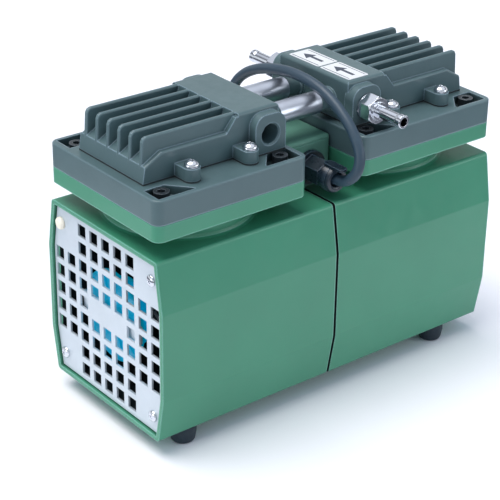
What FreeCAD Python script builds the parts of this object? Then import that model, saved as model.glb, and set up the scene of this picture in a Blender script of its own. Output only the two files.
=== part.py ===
# Twin-head diaphragm vacuum pump with the motor between the two heads
# Millimetres. X runs along the shaft, the side with the cable gland faces -Y, Z is up.
# The origin is on the standing surface, under the centre of the casing.
import FreeCAD
import Part
import math
import os

V = FreeCAD.Vector

# Casing, two mirrored halves of an eight-sided section
case_length = 280.0
case_height = 126.0
half_width_top = 57.5
half_width_middle = 63.2
half_width_bottom = 57.7
crease_low = case_height * 0.25
crease_high = case_height * 0.73
case_wall = 4.0
case_edge_round = 2.5
seam_gap = 2.0
seam_depth = 1.8
foot_height = 12.0
shaft_height = case_height / 2.0

# End grilles
rim_wall = 3.0
grille_inset = 4.0
grille_recess = 2.0
grille_thickness = 1.5
ledge_wall = 7.5
ledge_length = 6.0
grille_post_length = 16.0
grille_hole = 8.7
grille_pitch_y = 13.2
grille_pitch_z = case_height / 9.92
grille_count = 9
grille_screw_y = 50.0
grille_screw_z = shaft_height - 15.0
seal_dot_radius = 4.9
seal_dot_height = 3.9
seal_dot_round = 2.6

# Inside of the casing
web_inner = 51.0
web_thickness = 5.0
web_hole_radius = 8.0
web_hole_circle = 38.0
web_hole_count = 8
bearing_boss_radius = 23.0
bearing_boss_end = 60.0
post_radius = 6.0
post_start = 62.0
tie_bolt_y = 50.0
tie_bolt_z = shaft_height - 15.0
tie_bolt_radius = 2.5
tie_bolt_end = 22.0
stator_radius = shaft_height - 11.0
stator_half_length = 30.0
stator_bore = 28.0
stator_slots = 12
slot_root = stator_radius - 8.0
slot_start = stator_bore + 3.0
slot_width = 6.0
winding_inner = stator_bore + 4.0
winding_outer = stator_radius - 7.0
winding_length = 13.0
spigot_wall = 3.5
stop_length = 4.0
foot_post_radius = 7.0
foot_post_height = 14.0

# Feet
foot_radius = 9.0
foot_left = 114.0
foot_right = 106.0
foot_y = 48.0

# Shaft and its bearings
shaft_radius = 8.5
bearing_seat_radius = 7.5
crank_seat_radius = 6.0
bearing_start = 46.0
bearing_width = 11.0
bearing_outer_radius = 17.5
bearing_inner_outside = 10.6
bearing_outer_inside = 14.4
shaft_end = 133.0
rotor_radius = 27.6
end_ring_length = 5.0
end_ring_outer = 26.5
end_ring_inner = 16.0

# Cranks and connecting rods
head_centre = 81.5
throw = 3.0
crank_disc_radius = 12.5
crank_bearing_width = 15.0
crank_bearing_inner_outside = 17.0
crank_bearing_outer_inside = 21.5
crank_bearing_radius = 26.0
weight_radius = 32.0
weight_thickness = 10.0
rod_eye_radius = 31.0
rod_eye_width = 14.0
rod_shank_width = 16.0
rod_shank_thickness = 12.0
rod_web_thickness = 5.0
rod_head_radius = 27.0
clamp_disc_radius = 24.0
clamp_disc_thickness = 3.0
clamp_stud_radius = 3.0
clamp_stud_length = 14.0

# Fans
fan_radius = 33.5
fan_back = 119.0
fan_depth = 13.5
fan_disc = 2.0
fan_blades = 12
fan_blade_thickness = 1.5
fan_hub_radius = 11.0
clamp_bar_length = 64.0
clamp_bar_width = 12.0
clamp_bar_thickness = 1.5

# Flange and collar cast on each casing half
collar_radius = 48.0
collar_height = 12.7
collar_fillet = 2.5
flange_length = 116.8
flange_width = 116.8
flange_corner = 6.0
flange_thickness = 11.0
crank_bore = 40.0
head_bolt = 45.5

# Diaphragm
diaphragm_radius = 46.0
diaphragm_thickness = 2.5

# Head plate
plate_thickness = 16.3
chamber_height = 7.0
chamber_top_radius = 30.0
pocket_depth = 6.3
pocket_outline = [(54.3, 40.0), (39.5, 40.0), (27.5, 54.0), (27.5, 55.2), (54.3, 55.2)]
head_screw_radius = 3.0
head_screw_head = 5.0
head_screw_length = 20.0
valve_y = 14.0
valve_port_radius = 4.0
reed_length = 20.0
reed_width = 14.0
reed_thickness = 0.5
reed_pocket_depth = 3.5
reed_gap = 0.3
retainer_length = 8.0
retainer_thickness = 1.6

# Finned head cover
gasket_thickness = 1.0
cover_outer = 51.0
cover_inner = 52.5
cover_half_width = 34.5
cover_top = 29.0
cover_roof = 18.5
cover_roof_outer = 11.5
cover_slope_length = 14.0
cover_wall = 4.5
cover_draft = 1.6
cover_edge = 1.5
fin_count = 6
fin_thickness = 3.0
fin_corner = 3.0
fin_round = 1.2
fin_face = cover_half_width - 3.6
fin_pitch = (2.0 * fin_face - fin_thickness) / (fin_count - 1)
block_length = 31.5
block_gusset = 9.5
block_edge = 2.0
ramp_length = 7.0
lug_x = 22.25
lug_y = cover_half_width + 9.8
lug_height = 9.0
lug_radius = 5.5
cover_screw_radius = 2.5
cover_screw_head = 4.8
cover_screw_height = 4.2
cover_screw_length = 17.0
port_x = 40.0
port_height = 12.8
port_face = cover_half_width + 6.5
port_half_width = 12.0
port_boss_top = 13.6
port_boss_round = 8.5
port_bore = 6.6
port_chamfer = 1.0
port_depth = 14.0
passage_radius = 4.0

# Transfer pipes between the heads
pipe_y = 16.5
pipe_radius = 7.5
pipe_bore = 6.85
pipe_half_length = 17.0
spigot_radius = 6.8
spigot_end = 9.0
seal_width = 2.5
seal_groove = 1.4

# Hose nipples on the right head
nipple_washer_radius = 8.75
nipple_washer_thickness = 1.5
nipple_hex = 17.0
nipple_hex_length = 10.0
nipple_tail_radius = 4.1
nipple_tip_radius = 4.5
nipple_bore = 3.0
nipple_end = port_face + 35.2

# Terminal box between the heads
box_half_length = 22.8
box_front = 26.0
box_rear = 40.0
box_height = 32.8
box_lid = 3.0
box_wall = 2.5
box_corner = 2.0
lid_edge = 2.0
box_screw_x = 15.0
box_screw_y = 22.0
lid_screw_x = 18.0
lid_screw_y = 30.0
wire_hole_radius = 4.5
wire_hole_x = -13.0
wire_hole_y = 13.0
terminal_left = -20.0
terminal_right = -7.5
terminal_front = -22.0
terminal_back = 8.0
terminal_height = 14.0
terminal_pitch = 10.0
capacitor_radius = 12.0
capacitor_length = 32.0
capacitor_x = 7.0
capacitor_start = -14.0

# Cable gland and cord
gland_x = 5.0
gland_height = 14.0
gland_thread = 7.0
gland_flange_radius = 11.5
gland_flange = 3.0
gland_hex = 16.5
gland_hex_length = 15.0
gland_bore = 5.5
gland_cap_radius = 9.0
gland_end = 54.0
tongue_end = 62.0
tongue_width = 6.6
tongue_shift = -0.9
tongue_under = 8.8
tongue_over = 10.6
cord_radius = 3.6
coil_middle_radius = 38.0
coil_layers = 3
coil_x = 62.0
coil_y = 113.0
cord_pitch = 7.4
plug_x = -26.0
plug_y = 106.0
plug_relief = 18.0
plug_length = 30.0
plug_width = 26.0
plug_thickness = 17.0
blade_spacing = 12.7
blade_length = 17.0
blade_width = 6.3
blade_thickness = 1.5

# Screws
m4_radius = 2.0
m4_head_radius = 4.0
m4_head_height = 2.6
m4_clearance = 2.25
clearance = 0.05

# Heights worked out from the sizes above
case_bottom = foot_height
shaft_z = case_bottom + shaft_height
case_top = case_bottom + case_height
flange_bottom = case_top + collar_height
parting = flange_bottom + flange_thickness
plate_top = parting + plate_thickness
cover_base = plate_top + gasket_thickness
port_z = plate_top + port_height
cover_top_z = plate_top + cover_top
ceiling = parting + chamber_height
case_end = case_length / 2.0
grille_front = case_end - grille_recess
grille_back = grille_front - grille_thickness
gland_z = case_top + gland_height
crank_start = head_centre - crank_bearing_width / 2.0
crank_finish = head_centre + crank_bearing_width / 2.0


# Basic shapes
def box(x0, x1, y0, y1, z0, z1):
    return Part.makeBox(x1 - x0, y1 - y0, z1 - z0, V(x0, y0, z0))


def bar_x(radius, x0, x1, y, z):
    return Part.makeCylinder(radius, x1 - x0, V(x0, y, z), V(1, 0, 0))


def bar_y(radius, y0, y1, x, z):
    return Part.makeCylinder(radius, y1 - y0, V(x, y0, z), V(0, 1, 0))


def bar_z(radius, z0, z1, x, y):
    return Part.makeCylinder(radius, z1 - z0, V(x, y, z0), V(0, 0, 1))


def tube_x(outer, inner, x0, x1, y, z):
    return bar_x(outer, x0, x1, y, z).cut(bar_x(inner, x0 - 1, x1 + 1, y, z))


def prism(points, sweep):
    corners = [V(*point) for point in points]
    wire = Part.makePolygon(corners + [corners[0]])
    return Part.Face(wire).extrude(V(*sweep))


def prism_x(points, x0, x1):
    return prism([(x0, y, z) for y, z in points], (x1 - x0, 0, 0))


def prism_y(points, y0, y1):
    return prism([(x, y0, z) for x, z in points], (0, y1 - y0, 0))


def prism_z(points, z0, z1):
    return prism([(x, y, z0) for x, y in points], (0, 0, z1 - z0))


# A solid turned about an axis through base, from points of (distance along it, radius)
def turned(points, base, axis):
    side = V(0, 1, 0) if abs(axis.y) < 0.5 else V(1, 0, 0)
    corners = [base + axis * along + side * radius for along, radius in points]
    wire = Part.makePolygon(corners + [corners[0]])
    return Part.Face(wire).revolve(base, axis, 360)


def hexagon_prism(across_flats, base, axis, length, side):
    radius = across_flats / math.sqrt(3.0)
    other = axis.cross(side)
    corners = []
    for i in range(6):
        angle = math.radians(60 * i)
        corners.append(base + side * (radius * math.cos(angle)) + other * (radius * math.sin(angle)))
    return Part.Face(Part.makePolygon(corners + [corners[0]])).extrude(axis * length)


def rounded_plate(x, y, length, width, corner, z0, z1):
    plate = box(x - length / 2, x + length / 2, y - width / 2, y + width / 2, z0, z1)
    uprights = [e for e in plate.Edges if abs(e.Vertexes[0].Z - e.Vertexes[1].Z) > (z1 - z0) / 2]
    return plate.makeFillet(corner, uprights)


def fused(first, *others):
    return first.multiFuse(list(others)).removeSplitter()


def drilled(shape, *tools):
    return shape.cut(Part.makeCompound(list(tools)))


def mirrored(shape):
    return shape.mirror(V(0, 0, 0), V(1, 0, 0))


def edges_at_height(shape, z):
    return [e for e in shape.Edges if all(abs(v.Z - z) < 0.001 for v in e.Vertexes)]


def write(name, *solids):
    shape = solids[0] if len(solids) == 1 else Part.makeCompound(list(solids))
    shape.exportStep("parts/" + name + ".step")


# Each pair of pieces is built for the left end and mirrored for the right
def write_pair(name, shape):
    write("left_" + name, shape)
    write("right_" + name, mirrored(shape))


# Casing section
section = [
    (-half_width_bottom, case_bottom),
    (half_width_bottom, case_bottom),
    (half_width_middle, case_bottom + crease_low),
    (half_width_middle, case_bottom + crease_high),
    (half_width_top, case_top),
    (-half_width_top, case_top),
    (-half_width_middle, case_bottom + crease_high),
    (-half_width_middle, case_bottom + crease_low),
]


def inset_section(distance):
    corners = []
    count = len(section)
    for i in range(count):
        before = V(section[i - 1][0], section[i - 1][1], 0)
        here = V(section[i][0], section[i][1], 0)
        after = V(section[(i + 1) % count][0], section[(i + 1) % count][1], 0)
        first = (here - before).normalize()
        second = (after - here).normalize()
        first_normal = V(-first.y, first.x, 0)
        second_normal = V(-second.y, second.x, 0)
        shift = (first_normal + second_normal) * (distance / (1 + first_normal.dot(second_normal)))
        corners.append((here.x + shift.x, here.y + shift.y))
    return corners


def case_prism(distance, x0, x1):
    return prism_x(inset_section(distance), x0, x1)


four_corners = [(y, z) for y in (-1, 1) for z in (-1, 1)]


# Collar, flange and the bore for the connecting rod, on the left half
def head_seat():
    collar = turned(
        [(0, 0), (0, collar_radius + collar_fillet), (0.8, collar_radius + 0.6),
         (collar_fillet, collar_radius), (collar_height + 1, collar_radius), (collar_height + 1, 0)],
        V(-head_centre, 0, case_top), V(0, 0, 1))
    root = bar_z(collar_radius, case_top - case_wall, case_top + 0.1, -head_centre, 0)
    flange = rounded_plate(-head_centre, 0, flange_length, flange_width, flange_corner,
                           flange_bottom, parting)
    flange = flange.makeFillet(0.8, edges_at_height(flange, parting))
    return fused(collar, root, flange)


def left_half(mirror_foot):
    outer = case_prism(0, -case_end, -seam_gap / 2)
    long_edges = [e for e in outer.Edges if abs(e.Vertexes[0].X - e.Vertexes[1].X) > 1]
    outer = outer.makeFillet(case_edge_round, long_edges)
    shell = drilled(
        outer,
        case_prism(rim_wall, -case_end - 1, -grille_back),
        case_prism(ledge_wall, -grille_back - 1, -grille_back + ledge_length),
        case_prism(case_wall, -grille_back + ledge_length - 0.001, 1))
    web_start = -web_inner - web_thickness
    web = case_prism(case_wall - 1, web_start, -web_inner)
    boss = bar_x(bearing_boss_radius, -bearing_boss_end, -bearing_start, 0, shaft_z)
    spigot_outer = stator_radius + spigot_wall
    spigot = tube_x(spigot_outer, stator_radius + clearance,
                    -stator_half_length - stop_length, -seam_gap / 2, 0, shaft_z)
    stop = tube_x(spigot_outer, stator_radius - 3, -stator_half_length - stop_length,
                  -stator_half_length, 0, shaft_z)
    adds = [web, boss, spigot, stop]
    for y, z in four_corners:
        adds.append(bar_x(post_radius, -post_start, -seam_gap / 2, y * tie_bolt_y, shaft_z + z * tie_bolt_z))
        adds.append(bar_x(post_radius, -grille_back, -grille_back + grille_post_length, y * grille_screw_y,
                          shaft_z + z * grille_screw_z))
        adds.append(box(-stator_half_length - stop_length, -seam_gap / 2, y * 41 - 3, y * 41 + 3,
                        shaft_z + z * 42 - 4, shaft_z + z * 42 + 4))
    for side in (-1, 1):
        adds.append(box(-stator_half_length - stop_length, -seam_gap / 2, side * 57.5 - 3.5, side * 57.5 + 3.5,
                        shaft_z - 8, shaft_z + 8))
        adds.append(bar_z(foot_post_radius, case_bottom + 1, case_bottom + foot_post_height,
                          -mirror_foot, side * foot_y))
    adds.append(head_seat())
    half = fused(shell, *adds)
    holes = [bar_x(bearing_outer_radius, -bearing_start - bearing_width, -bearing_start + 1, 0, shaft_z)]
    holes.append(bar_x(bearing_outer_inside - 1, -bearing_boss_end - 1, -bearing_start, 0, shaft_z))
    for i in range(web_hole_count):
        angle = math.radians(360.0 / web_hole_count * (i + 0.5))
        holes.append(bar_x(web_hole_radius, web_start - 1, -web_inner + 1,
                           web_hole_circle * math.cos(angle), shaft_z + web_hole_circle * math.sin(angle)))
    for y, z in four_corners:
        holes.append(bar_x(m4_radius + clearance, -grille_back - 1, -grille_back + 10, y * grille_screw_y,
                           shaft_z + z * grille_screw_z))
        holes.append(bar_z(head_screw_radius + clearance, flange_bottom - 1, parting + 1,
                           -head_centre + y * head_bolt, z * head_bolt))
    for side in (-1, 1):
        holes.append(bar_z(m4_radius + clearance, case_bottom - 1, case_bottom + 10,
                           -mirror_foot, side * foot_y))
    holes.append(bar_z(crank_bore, case_top - case_wall - 3, parting + 1, -head_centre, 0))
    holes.append(bar_z(diaphragm_radius + clearance, parting - diaphragm_thickness, parting + 1,
                       -head_centre, 0))
    holes.append(bar_z(m4_radius + clearance, case_top - case_wall - 1, case_top + 1, -box_screw_x, box_screw_y))
    return drilled(half, *holes)


# Casing halves, clearance holes for the tie bolts on the left and threads on the right
left = left_half(foot_left)
right = mirrored(left_half(foot_right))
for y, z in four_corners:
    bolt_y = y * tie_bolt_y
    bolt_z = shaft_z + z * tie_bolt_z
    left = left.cut(bar_x(tie_bolt_radius + 0.2, -post_start - 1, 1, bolt_y, bolt_z))
    right = right.cut(bar_x(tie_bolt_radius + clearance, 0, tie_bolt_end + 2, bolt_y, bolt_z))
wire_hole = bar_z(wire_hole_radius, case_top - case_wall - 1, case_top + 1, wire_hole_x, wire_hole_y)
wire_slot = box(-stator_half_length - stop_length - 1, wire_hole_x + wire_hole_radius,
                wire_hole_y - wire_hole_radius, wire_hole_y + wire_hole_radius,
                shaft_z + stator_radius - 4, case_top - case_wall)
left = drilled(left, wire_hole, wire_slot)

# Seam gasket, a thin frame with an eye round each tie bolt
gasket = case_prism(seam_depth, -seam_gap / 2, seam_gap / 2).cut(
    case_prism(case_wall, -seam_gap, seam_gap))
eyes = [bar_x(post_radius, -seam_gap / 2, seam_gap / 2, y * tie_bolt_y, shaft_z + z * tie_bolt_z)
        for y, z in four_corners]
gasket = fused(gasket, *eyes)
gasket = drilled(gasket, *[bar_x(tie_bolt_radius + 0.2, -seam_gap, seam_gap, y * tie_bolt_y,
                                 shaft_z + z * tie_bolt_z) for y, z in four_corners])

# Socket head bolts that pull the casing halves together
tie_bolts = []
for y, z in four_corners:
    bolt_y = y * tie_bolt_y
    bolt_z = shaft_z + z * tie_bolt_z
    head = bar_x(4.25, -post_start - 5, -post_start, bolt_y, bolt_z)
    shank = bar_x(tie_bolt_radius, -post_start - 1, tie_bolt_end, bolt_y, bolt_z)
    socket = hexagon_prism(4, V(-post_start - 5.1, bolt_y, bolt_z), V(1, 0, 0), 2.6, V(0, 1, 0))
    tie_bolts.append(fused(head, shank).cut(socket))


# End grille with square holes, none in the corners or in front of the shaft
def grille():
    plate = case_prism(grille_inset, -grille_front, -grille_back)
    middle = (grille_count - 1) / 2.0
    holes = []
    for row in range(grille_count):
        for column in range(grille_count):
            across = abs(column - middle)
            up = abs(row - middle)
            corner = across >= middle - 1 and up >= middle - 1
            if corner or (up == 0 and across <= 1):
                continue
            y = (column - middle) * grille_pitch_y
            z = shaft_z + (row - middle) * grille_pitch_z
            half = grille_hole / 2
            holes.append(box(-grille_front - 1, -grille_back + 1, y - half, y + half, z - half, z + half))
    for y, z in four_corners:
        holes.append(bar_x(m4_clearance, -grille_front - 1, -grille_back + 1, y * grille_screw_y,
                           shaft_z + z * grille_screw_z))
    return drilled(plate, *holes)


# Pan head screw, the head's underside at base and the shank along axis
def pan_screw(base, axis, radius, head_radius, head_height, length):
    points = [(-head_height, 0), (-head_height, head_radius * 0.55), (-head_height * 0.7, head_radius * 0.9),
              (-head_height * 0.3, head_radius), (0, head_radius), (0, radius), (length, radius), (length, 0)]
    return turned(points, base, axis)


def m4_screw(base, axis, length):
    return pan_screw(base, axis, m4_radius, m4_head_radius, m4_head_height, length)


foot_spots = [(-foot_left, -foot_y), (-foot_left, foot_y), (foot_right, -foot_y), (foot_right, foot_y)]
foot_recess = 5.0
m4_screws = []
for y, z in four_corners:
    spot_y = y * grille_screw_y
    spot_z = shaft_z + z * grille_screw_z
    m4_screws.append(m4_screw(V(-grille_front, spot_y, spot_z), V(1, 0, 0), 10))
    m4_screws.append(m4_screw(V(grille_front, spot_y, spot_z), V(-1, 0, 0), 10))
for x, y in foot_spots:
    m4_screws.append(m4_screw(V(x, y, foot_recess), V(0, 0, 1), 15))
box_floor = case_top + box_wall
for side in (-1, 1):
    m4_screws.append(m4_screw(V(side * box_screw_x, box_screw_y, box_floor), V(0, 0, -1), 6))
    m4_screws.append(m4_screw(V(side * lid_screw_x, lid_screw_y, case_top + box_height), V(0, 0, -1), 9))

# Domed seal moulded over the head of one grille screw
seal_dot = turned(
    [(0, 0), (0, seal_dot_radius), (seal_dot_height - 1.2, seal_dot_radius - 0.1),
     (seal_dot_height - 0.5, seal_dot_radius - 0.8), (seal_dot_height, seal_dot_radius - seal_dot_round),
     (seal_dot_height, 0)],
    V(-grille_front, grille_screw_y, shaft_z + grille_screw_z), V(-1, 0, 0))
seal_dot = seal_dot.cut(bar_x(m4_head_radius + clearance, -grille_front - m4_head_height - clearance,
                              -grille_front + 1, grille_screw_y, shaft_z + grille_screw_z))


# Rubber foot, tapered and rounded at the bottom
def foot(x, y):
    points = [(case_bottom, foot_radius), (case_bottom - 5, foot_radius), (1.6, foot_radius - 1),
              (0.5, foot_radius - 1.6), (0, foot_radius - 2.8), (0, m4_head_radius + 0.8),
              (foot_recess, m4_head_radius + 0.8), (foot_recess, m4_clearance), (case_bottom, m4_clearance)]
    return turned(points, V(x, y, 0), V(0, 0, 1))


# Stator stack, windings and rotor
stator = tube_x(stator_radius, stator_bore, -stator_half_length, stator_half_length, 0, shaft_z)
bars = []
slots = []
for i in range(stator_slots):
    angle = 360.0 / stator_slots * i
    slot = box(-stator_half_length - 1, stator_half_length + 1, -slot_width / 2, slot_width / 2,
               shaft_z + slot_start, shaft_z + slot_root)
    mouth = box(-stator_half_length - 1, stator_half_length + 1, -slot_width / 5, slot_width / 5,
                shaft_z, shaft_z + slot_start + 1)
    bar = box(-stator_half_length - 2, stator_half_length + 2, -slot_width / 2 + 0.4, slot_width / 2 - 0.4,
              shaft_z + slot_start + 0.5, shaft_z + slot_root - 0.4)
    for shape, group in ((slot, slots), (mouth, slots), (bar, bars)):
        shape.rotate(V(0, 0, shaft_z), V(1, 0, 0), angle)
        group.append(shape)
stator = drilled(stator, *slots)


def end_turns(start, direction):
    points = [(0, winding_inner), (0, winding_outer), (winding_length - 4, winding_outer + 2),
              (winding_length, winding_outer), (winding_length, winding_inner + 1),
              (winding_length - 4, winding_inner - 0.5)]
    return turned(points, V(start, 0, shaft_z), V(direction, 0, 0))


windings = fused(end_turns(-stator_half_length - 1, -1), end_turns(stator_half_length + 1, 1), *bars)
rotor = tube_x(rotor_radius, shaft_radius, -stator_half_length, stator_half_length, 0, shaft_z)
rotor_rings = []
for direction in (-1, 1):
    ring = turned([(0, end_ring_inner), (0, end_ring_outer), (end_ring_length, end_ring_outer - 0.5),
                   (end_ring_length, end_ring_inner + 1)],
                  V(direction * stator_half_length, 0, shaft_z), V(direction, 0, 0))
    rotor_rings.append(ring)

# Stepped shaft
half_profile = [(shaft_end, 0), (shaft_end, crank_seat_radius), (bearing_boss_end + 3, crank_seat_radius),
                (bearing_boss_end + 3, bearing_seat_radius), (bearing_start, bearing_seat_radius),
                (bearing_start, shaft_radius)]
whole_profile = half_profile + [(-x, radius) for x, radius in reversed(half_profile)]
shaft = turned(whole_profile, V(0, 0, shaft_z), V(1, 0, 0))
for side in (-1, 1):
    tapped = bar_x(m4_radius + clearance, 0, 14, 0, shaft_z)
    tapped.translate(V(shaft_end - 13 if side > 0 else -shaft_end - 1, 0, 0))
    shaft = shaft.cut(tapped)


# Sealed ball bearing, the outer ring with its shields and the plain inner ring
def bearing_outer(x0, x1, outer, inside, inner_outside):
    shield = 1.0
    lip = inner_outside + 0.3
    points = [(x0, lip), (x0, outer), (x1, outer), (x1, lip), (x1 - shield, lip), (x1 - shield, inside),
              (x0 + shield, inside), (x0 + shield, lip)]
    return turned(points, V(0, 0, shaft_z), V(1, 0, 0))


def bearing_inner(x0, x1, inner_outside, bore):
    groove = 0.8
    middle = (x0 + x1) / 2
    points = [(x0, bore), (x0, inner_outside), (middle - 2.5, inner_outside), (middle, inner_outside - groove),
              (middle + 2.5, inner_outside), (x1, inner_outside), (x1, bore)]
    return turned(points, V(0, 0, shaft_z), V(1, 0, 0))


bearing_end = bearing_start + bearing_width
main_outer = bearing_outer(-bearing_end, -bearing_start, bearing_outer_radius, bearing_outer_inside,
                           bearing_inner_outside)
main_inner = bearing_inner(-bearing_end, -bearing_start, bearing_inner_outside, bearing_seat_radius)


# Eccentric with its balance weight, up is +1 at top dead centre and -1 at bottom
def eccentric(up):
    lift = V(0, 0, up * throw)
    disc = bar_x(crank_disc_radius, -crank_finish, -crank_start + 1, 0, shaft_z)
    disc.translate(lift)
    collar = bar_x(10, -crank_start, -bearing_end, 0, shaft_z)
    weight = bar_x(weight_radius, -crank_start + 1, -crank_start + 1 + weight_thickness, 0, shaft_z)
    keep = box(-crank_start - 1, 0, -weight_radius - 1, weight_radius + 1,
               shaft_z - weight_radius - 1, shaft_z + 4)
    if up < 0:
        keep.rotate(V(0, 0, shaft_z), V(1, 0, 0), 180)
    weight = weight.common(keep)
    nose = bar_x(9, -crank_finish - 3, -crank_finish, 0, shaft_z)
    body = fused(disc, collar, weight, nose)
    seat = bar_x(crank_seat_radius, -crank_finish - 4, -bearing_boss_end - 3, 0, shaft_z)
    land = bar_x(bearing_seat_radius, -bearing_boss_end - 3, 0, 0, shaft_z)
    return drilled(body, seat, land)


def crank_ring(shape, up):
    shape.translate(V(0, 0, up * throw))
    return shape


def crank_outer(up):
    return crank_ring(bearing_outer(-crank_finish, -crank_start, crank_bearing_radius,
                                    crank_bearing_outer_inside, crank_bearing_inner_outside), up)


def crank_inner(up):
    return crank_ring(bearing_inner(-crank_finish, -crank_start, crank_bearing_inner_outside,
                                    crank_disc_radius), up)


# Connecting rod with its round head under the diaphragm
def connecting_rod(up):
    eye_z = shaft_z + up * throw
    top = parting - diaphragm_thickness + up * throw
    x0 = -head_centre - rod_eye_width / 2
    x1 = -head_centre + rod_eye_width / 2
    eye = bar_x(rod_eye_radius, x0, x1, 0, eye_z)
    half = rod_shank_width / 2
    web = rod_web_thickness / 2
    thick = rod_shank_thickness / 2
    lip = 3.0
    outline = [(-thick, -half), (thick, -half), (thick, -half + lip), (web, -half + lip),
               (web, half - lip), (thick, half - lip), (thick, half), (-thick, half),
               (-thick, half - lip), (-web, half - lip), (-web, -half + lip), (-thick, -half + lip)]
    shank = prism_z([(x - head_centre, y) for x, y in outline], eye_z + rod_eye_radius - 2, top - 10)
    head = turned([(0, 0), (0, rod_head_radius), (-3, rod_head_radius), (-13, 10), (-13, 0)],
                  V(-head_centre, 0, top), V(0, 0, 1))
    rod = fused(eye, shank, head)
    return drilled(rod, bar_x(crank_bearing_radius, x0 - 1, x1 + 1, 0, eye_z),
                   bar_z(clamp_stud_radius + clearance, top - clamp_stud_length - 1, top + 1, -head_centre, 0))


def clamp_disc(up):
    base = parting + up * throw
    return turned([(-clamp_stud_length - diaphragm_thickness, 0),
                   (-clamp_stud_length - diaphragm_thickness, clamp_stud_radius), (0, clamp_stud_radius),
                   (0, clamp_disc_radius), (clamp_disc_thickness - 1, clamp_disc_radius),
                   (clamp_disc_thickness, clamp_disc_radius - 1), (clamp_disc_thickness, 0)],
                  V(-head_centre, 0, base), V(0, 0, 1))


def diaphragm(up):
    shift = up * throw
    low = -diaphragm_thickness
    inner = rod_head_radius + 1
    outer = crank_bore - 1
    points = [(low, diaphragm_radius), (low, outer), (low + shift, inner), (low + shift, clamp_stud_radius + 0.2),
              (shift, clamp_stud_radius + 0.2), (shift, inner), (0, outer), (0, diaphragm_radius)]
    return turned(points, V(-head_centre, 0, parting), V(0, 0, 1))


# Fan with straight radial blades, its clamp bar and screw
def fan():
    disc = bar_x(fan_radius, -fan_back - fan_disc, -fan_back, 0, shaft_z)
    hub = bar_x(fan_hub_radius, -fan_back - fan_depth, -fan_back + 3, 0, shaft_z)
    blades = []
    for i in range(fan_blades):
        blade = box(-fan_back - fan_depth, -fan_back - fan_disc + 0.5, -fan_blade_thickness / 2,
                    fan_blade_thickness / 2, shaft_z + fan_hub_radius - 1, shaft_z + fan_radius - 0.3)
        blade.rotate(V(0, 0, shaft_z), V(1, 0, 0), 360.0 / fan_blades * i)
        blades.append(blade)
    return fused(disc, hub, *blades).cut(bar_x(crank_seat_radius, -shaft_end - 5, 0, 0, shaft_z))


def fan_clamp(side):
    start = shaft_end
    finish = start + clamp_bar_thickness
    low = min(side * start, side * finish)
    bar = box(low, low + clamp_bar_thickness, -clamp_bar_length / 2, clamp_bar_length / 2,
              shaft_z - clamp_bar_width / 2, shaft_z + clamp_bar_width / 2)
    bar = bar.cut(bar_x(m4_clearance, low - 1, low + clamp_bar_thickness + 1, 0, shaft_z))
    screw = turned([(-1.5, 0), (-1.5, 3.4), (0, 4), (0, m4_radius), (11, m4_radius), (11, 0)],
                   V(side * finish, 0, shaft_z), V(-side, 0, 0))
    return [bar, screw]


# Head plate: chamber dish below, corner pockets above, valve ports between
def head_plate():
    plate = rounded_plate(-head_centre, 0, flange_length, flange_width, flange_corner, parting, plate_top)
    plate = plate.makeFillet(1.0, edges_at_height(plate, plate_top))
    dish = turned([(-1, 0), (-1, crank_bore), (0, crank_bore), (chamber_height, chamber_top_radius),
                   (chamber_height, 0)], V(-head_centre, 0, parting), V(0, 0, 1))
    tools = [dish]
    for x, y in four_corners:
        corner = [(x * across - head_centre, y * along) for across, along in pocket_outline]
        tools.append(prism_z(corner, plate_top - pocket_depth, plate_top + 1))
        tools.append(bar_z(head_screw_radius + 0.3, parting - 1, plate_top,
                           -head_centre + x * head_bolt, y * head_bolt))
        tools.append(bar_z(cover_screw_radius + clearance, plate_top - 9, plate_top + 1,
                           -head_centre + x * lug_x, y * lug_y))
    inlet_roof = ceiling + reed_pocket_depth
    tools.append(box(-head_centre - reed_length / 2, -head_centre + reed_length / 2 + 13,
                     -valve_y - reed_width / 2 - 1, -valve_y + reed_width / 2 + 1, ceiling - 1, inlet_roof))
    tools.append(bar_z(valve_port_radius, ceiling - 1, plate_top + 1, -head_centre, -valve_y))
    tools.append(bar_z(valve_port_radius, ceiling - 1, plate_top + 1, -head_centre, valve_y))
    retainer_x = -head_centre + reed_length / 2 + 2 + reed_gap + retainer_length / 2
    tools.append(bar_z(1.5 + clearance, inlet_roof - 1, inlet_roof + 4, retainer_x, -valve_y))
    tools.append(bar_z(1.5 + clearance, plate_top - 5, plate_top + 1, retainer_x, valve_y))
    return drilled(plate, *tools)


# Reed valves: the flap, and the retainer and screw that hold its root
def reed(side, y, z):
    x0 = -head_centre - reed_length / 2 + 2
    low = min(z, z + side * reed_thickness)
    body = box(x0, x0 + reed_length, y - reed_width / 2, y + reed_width / 2, low, low + reed_thickness)
    uprights = [e for e in body.Edges if abs(e.Vertexes[0].Z - e.Vertexes[1].Z) > reed_thickness / 2
                and e.Vertexes[0].X < x0 + 1]
    return body.makeFillet(reed_width / 2 - 1, uprights)


def retainer(side, y, z):
    x0 = -head_centre + reed_length / 2 + 2 + reed_gap
    low = min(z, z + side * retainer_thickness)
    plate = box(x0, x0 + retainer_length, y - reed_width / 2, y + reed_width / 2, low, low + retainer_thickness)
    middle = x0 + retainer_length / 2
    plate = plate.cut(bar_z(1.6, low - 1, low + retainer_thickness + 1, middle, y))
    screw = turned([(-1.4, 0), (-1.4, 2.4), (0, 2.8), (0, 1.5), (retainer_thickness + 3.5, 1.5),
                    (retainer_thickness + 3.5, 0)],
                   V(middle, y, z + side * retainer_thickness), V(0, 0, -side))
    return [plate, screw]


inlet_reed = reed(-1, -valve_y, ceiling + reed_pocket_depth)
outlet_reed = reed(1, valve_y, plate_top)
left_retainers = retainer(-1, -valve_y, ceiling + reed_pocket_depth) + retainer(1, valve_y, plate_top)


# Finned cover, with x counted outwards from the head centre on the left head
def cover_x(x):
    return -head_centre - x


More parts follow.
